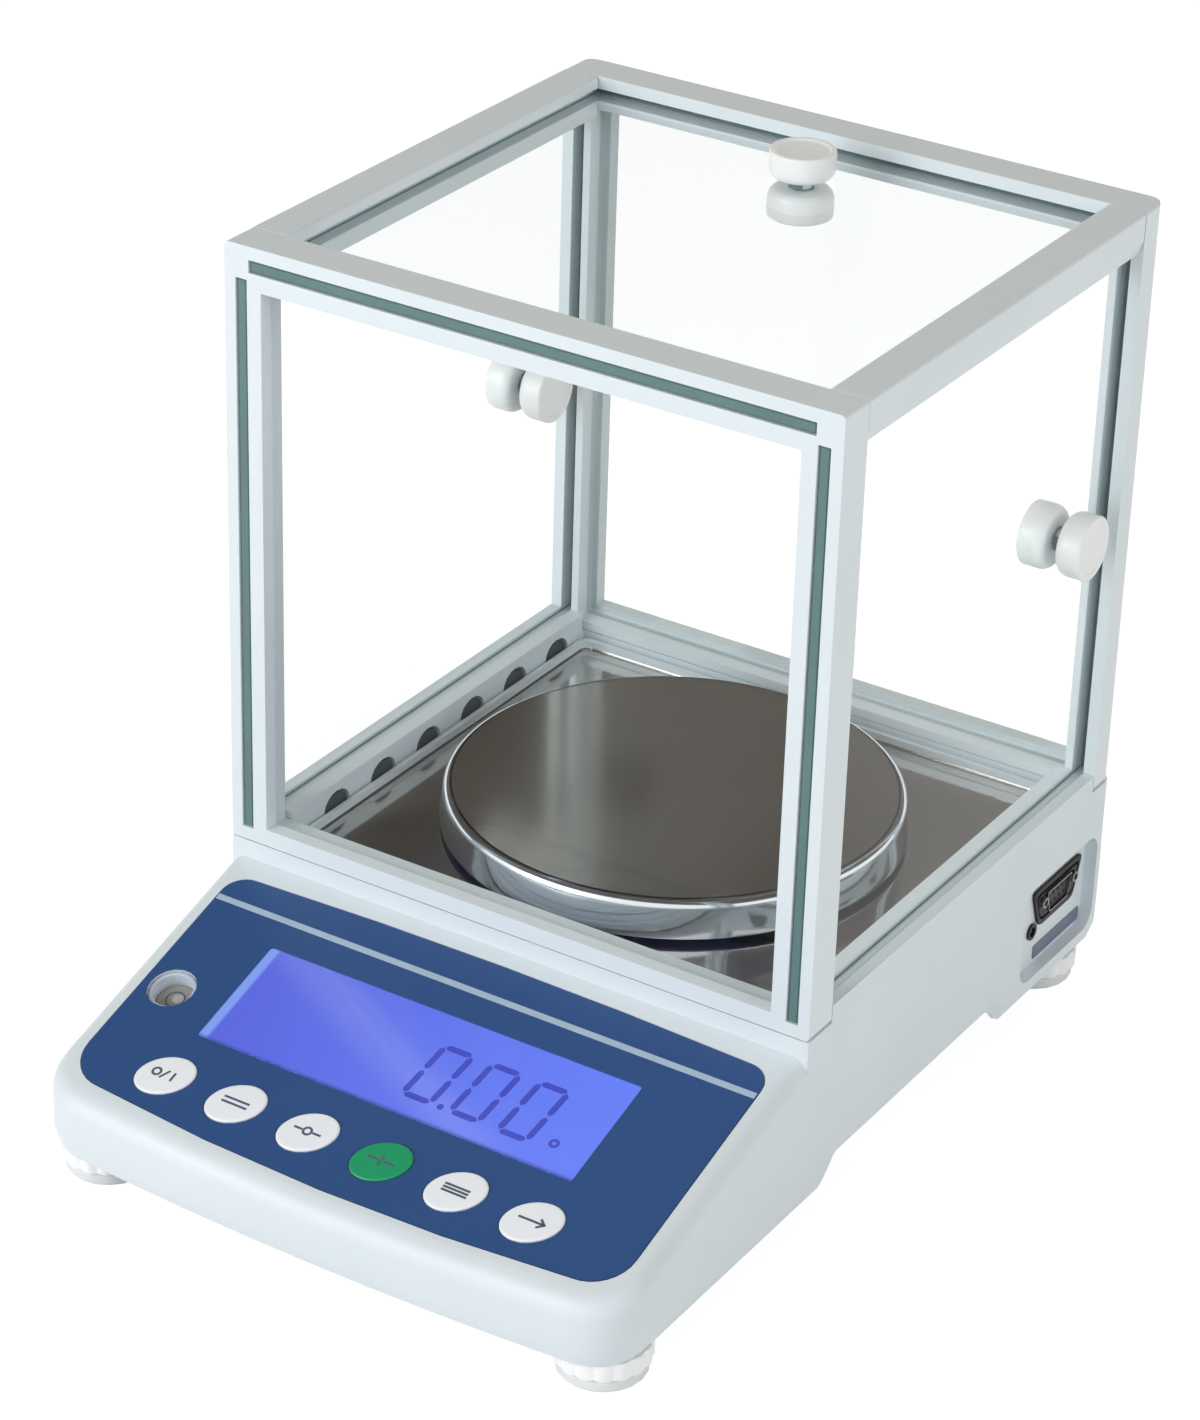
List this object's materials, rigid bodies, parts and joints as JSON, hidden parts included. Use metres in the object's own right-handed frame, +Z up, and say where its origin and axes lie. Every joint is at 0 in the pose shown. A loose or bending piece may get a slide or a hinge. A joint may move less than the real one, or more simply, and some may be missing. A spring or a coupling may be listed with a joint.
{
  "type": "digital bench scale",
  "caption": "Electronic precision balance with a glass draft shield, three sliding doors, a round steel pan, a sloping console with a display and keys, and levelling feet.",
  "frame": {"origin": "middle of the scale's footprint, on the surface that its feet stand on", "axes": "+X to the right of someone at the console, +Y away from them to the back, +Z up"},
  "size_m": [0.1986, 0.275, 0.2501],
  "materials": {
    "casing": "moulded white ABS with a fine satin grain",
    "underside": "moulded light grey ABS, satin",
    "glass": "clear float glass with ground edges",
    "knob": "moulded white plastic",
    "stainless": "stainless steel, finely brushed and nearly mirror bright",
    "alloy": "machined aluminium alloy",
    "zinc": "zinc plated steel",
    "overlay": "printed polyester foil, satin",
    "key": "moulded white plastic",
    "tare_key": "moulded green plastic",
    "clear_lens": "clear acrylic",
    "display": "backlit liquid crystal display",
    "board": "circuit board with solder mask",
    "level_cup": "moulded plastic",
    "socket_black": "black nylon",
    "foot_wheel": "moulded white plastic",
    "foot_pad": "pale grey rubber"
  },
  "bodies": {
    "root": {"top_housing": "casing", "front_frame": "casing", "back_frame": "casing", "top_rail_left": "casing", "top_rail_right": "casing", "base_housing": "underside", "front_glass": "glass", "back_glass": "glass", "spill_tray": "stainless", "pan_carrier": "alloy", "load_cell": "alloy", "load_cell_spacer": "alloy", "overload_stop": "zinc", "keypad_overlay": "overlay", "display_window": "clear_lens", "level_lens": "clear_lens", "lcd_module": "display", "display_board": "board", "main_board": "board", "socket_board": "board", "level_cup": "level_cup", "serial_port": "socket_black", "power_jack": "socket_black"},
    "left_door": {"left_door_glass": "glass", "left_knob_outer": "knob", "left_knob_inner": "knob"},
    "right_door": {"right_door_glass": "glass", "right_knob_outer": "knob", "right_knob_inner": "knob"},
    "top_door": {"top_door_glass": "glass", "top_knob_outer": "knob", "top_knob_inner": "knob"},
    "pan": {"weighing_pan": "stainless"},
    "key_1": {"key_1": "key"},
    "key_2": {"key_2": "key"},
    "key_3": {"key_3": "key"},
    "key_4": {"key_4": "tare_key"},
    "key_5": {"key_5": "key"},
    "key_6": {"key_6": "key"},
    "pad_front_left": {"foot_pad_front_left": "foot_pad"},
    "wheel_front_left": {"foot_wheel_front_left": "foot_wheel"},
    "pad_front_right": {"foot_pad_front_right": "foot_pad"},
    "wheel_front_right": {"foot_wheel_front_right": "foot_wheel"},
    "pad_rear_left": {"foot_pad_rear_left": "foot_pad"},
    "wheel_rear_left": {"foot_wheel_rear_left": "foot_wheel"},
    "pad_rear_right": {"foot_pad_rear_right": "foot_pad"},
    "wheel_rear_right": {"foot_wheel_rear_right": "foot_wheel"}
  },
  "joints": [
    {"name": "left_door_slide", "type": "slide", "parent": "root", "child": "left_door", "axis": [0, -1, 0], "range_m": [0, 0.1175]},
    {"name": "right_door_slide", "type": "slide", "parent": "root", "child": "right_door", "axis": [0, -1, 0], "range_m": [0, 0.1175]},
    {"name": "top_door_slide", "type": "slide", "parent": "root", "child": "top_door", "axis": [0, -1, 0], "range_m": [0, 0.1175]},
    {"name": "pan_lift", "type": "slide", "parent": "root", "child": "pan", "axis": [0, 0, 1], "range_m": [0, 0.1]},
    {"name": "key_1_press", "type": "slide", "parent": "root", "child": "key_1", "axis": [0, 0.3007, -0.9537], "range_m": [0, 0.0004], "stiffness_N_per_m": 600, "springref_m": -0.0004},
    {"name": "key_2_press", "type": "slide", "parent": "root", "child": "key_2", "axis": [0, 0.3007, -0.9537], "range_m": [0, 0.0004], "stiffness_N_per_m": 600, "springref_m": -0.0004},
    {"name": "key_3_press", "type": "slide", "parent": "root", "child": "key_3", "axis": [0, 0.3007, -0.9537], "range_m": [0, 0.0004], "stiffness_N_per_m": 600, "springref_m": -0.0004},
    {"name": "key_4_press", "type": "slide", "parent": "root", "child": "key_4", "axis": [0, 0.3007, -0.9537], "range_m": [0, 0.0004], "stiffness_N_per_m": 600, "springref_m": -0.0004},
    {"name": "key_5_press", "type": "slide", "parent": "root", "child": "key_5", "axis": [0, 0.3007, -0.9537], "range_m": [0, 0.0004], "stiffness_N_per_m": 600, "springref_m": -0.0004},
    {"name": "key_6_press", "type": "slide", "parent": "root", "child": "key_6", "axis": [0, 0.3007, -0.9537], "range_m": [0, 0.0004], "stiffness_N_per_m": 600, "springref_m": -0.0004},
    {"name": "front_left_foot_lift", "type": "slide", "parent": "root", "child": "pad_front_left", "axis": [0, 0, -1], "range_m": [0, 0.005]},
    {"name": "front_left_foot_turn", "type": "hinge", "parent": "pad_front_left", "child": "wheel_front_left", "pos_m": [-0.081, -0.1175, 0.007], "axis": [0, 0, 1], "range_deg": [0, 1800]},
    {"name": "front_right_foot_lift", "type": "slide", "parent": "root", "child": "pad_front_right", "axis": [0, 0, -1], "range_m": [0, 0.005]},
    {"name": "front_right_foot_turn", "type": "hinge", "parent": "pad_front_right", "child": "wheel_front_right", "pos_m": [0.081, -0.1175, 0.007], "axis": [0, 0, 1], "range_deg": [0, 1800]},
    {"name": "rear_left_foot_lift", "type": "slide", "parent": "root", "child": "pad_rear_left", "axis": [0, 0, -1], "range_m": [0, 0.005]},
    {"name": "rear_left_foot_turn", "type": "hinge", "parent": "pad_rear_left", "child": "wheel_rear_left", "pos_m": [-0.081, 0.1205, 0.007], "axis": [0, 0, 1], "range_deg": [0, 1800]},
    {"name": "rear_right_foot_lift", "type": "slide", "parent": "root", "child": "pad_rear_right", "axis": [0, 0, -1], "range_m": [0, 0.005]},
    {"name": "rear_right_foot_turn", "type": "hinge", "parent": "pad_rear_right", "child": "wheel_rear_right", "pos_m": [0.081, 0.1205, 0.007], "axis": [0, 0, 1], "range_deg": [0, 1800]}
  ],
  "couplings": [
    {"joint": "front_left_foot_lift", "follows": "front_left_foot_turn", "m_per_rad": 0.00015915},
    {"joint": "front_right_foot_lift", "follows": "front_right_foot_turn", "m_per_rad": 0.00015915},
    {"joint": "rear_left_foot_lift", "follows": "rear_left_foot_turn", "m_per_rad": 0.00015915},
    {"joint": "rear_right_foot_lift", "follows": "rear_right_foot_turn", "m_per_rad": 0.00015915}
  ]
}
